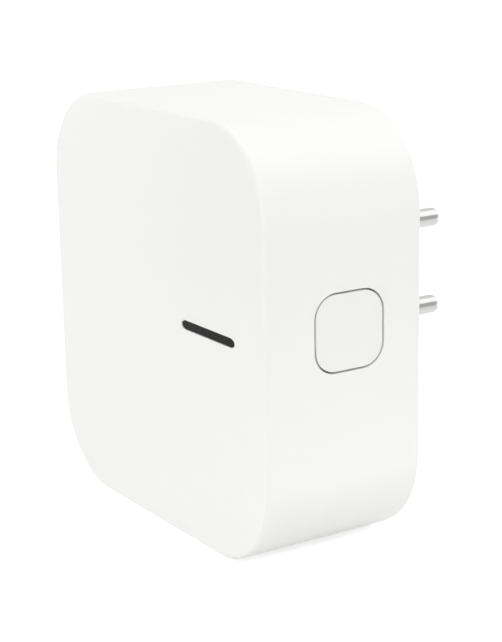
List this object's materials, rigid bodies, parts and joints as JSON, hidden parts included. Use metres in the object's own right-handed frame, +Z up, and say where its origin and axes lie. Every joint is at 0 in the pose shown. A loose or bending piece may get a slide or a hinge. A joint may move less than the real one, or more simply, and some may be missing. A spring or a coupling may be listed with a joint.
{
  "type": "smart home gateway",
  "caption": "Plug-in smart home gateway: rounded square white box with a pill-shaped indicator window in its face, a flush side button and round mains pins behind.",
  "frame": {"origin": "midway between the two plug pins, on the flat end face of the plug boss that meets the socket", "axes": "+X towards the side with the button, +Y out of the back along the plug pins, +Z up"},
  "size_m": [0.08, 0.0695, 0.083],
  "materials": {
    "white_abs": "fine matt moulded plastic",
    "button_abs": "fine matt moulded plastic",
    "smoked_window": "polished smoked plastic",
    "clear_guide": "clear polished plastic",
    "seal_foam": "closed-cell foam",
    "nickel_pins": "nickel-plated brass",
    "sleeve_plastic": "dark moulded insulation",
    "inner_plastic": "natural moulded plastic",
    "steel_screw": "zinc-plated steel",
    "brass_strip": "rolled brass",
    "board_green": "solder-masked glass laminate",
    "ferrite": "sintered ferrite",
    "winding_tape": "taped copper winding",
    "capacitor_can": "sleeved aluminium can",
    "moulded_black": "black moulding compound",
    "disc_blue": "dipped ceramic disc",
    "fuse_body": "cement-coated resistor",
    "lamp_white": "light emitting diode package",
    "shield_steel": "tin-plated steel sheet",
    "header_gold": "gold-plated brass"
  },
  "bodies": {
    "gateway": {"front_housing": "white_abs", "rear_cover": "white_abs", "indicator_window": "smoked_window", "light_guide": "clear_guide", "light_seal": "seal_foam", "status_light_left": "lamp_white", "status_light_right": "lamp_white", "button_guide": "inner_plastic", "button_board": "board_green", "push_switch": "moulded_black", "upper_pin": "nickel_pins", "lower_pin": "nickel_pins", "upper_pin_sleeve": "sleeve_plastic", "lower_pin_sleeve": "sleeve_plastic", "pin_retainer": "inner_plastic", "retainer_screw": "steel_screw", "upper_contact_strip": "brass_strip", "lower_contact_strip": "brass_strip", "cover_screws": "steel_screw", "power_board": "board_green", "power_board_screws": "steel_screw", "transformer_core": "ferrite", "transformer_winding": "winding_tape", "bulk_capacitor_lower": "capacitor_can", "bulk_capacitor_upper": "capacitor_can", "filter_choke": "ferrite", "bridge_rectifier": "moulded_black", "fuse_resistor": "fuse_body", "surge_absorber": "disc_blue", "safety_capacitor": "disc_blue", "switching_controller": "moulded_black", "output_capacitor": "capacitor_can", "output_diode": "moulded_black", "header_body": "moulded_black", "header_pins": "header_gold", "header_socket": "moulded_black", "main_board": "board_green", "main_board_screws": "steel_screw", "processor_chip": "moulded_black", "memory_chip": "moulded_black", "crystal": "shield_steel", "network_module": "board_green", "network_shield": "shield_steel", "sensor_radio_module": "board_green", "sensor_radio_shield": "shield_steel", "network_antenna": "shield_steel", "sensor_antenna": "shield_steel"},
    "button": {"button_cap": "button_abs", "switch_plunger": "inner_plastic"}
  },
  "joints": [
    {"name": "button_press", "type": "slide", "parent": "gateway", "child": "button", "axis": [-1, 0, 0], "range_m": [0, 0.0004], "stiffness_N_per_m": 2000, "springref_m": -0.0001}
  ]
}
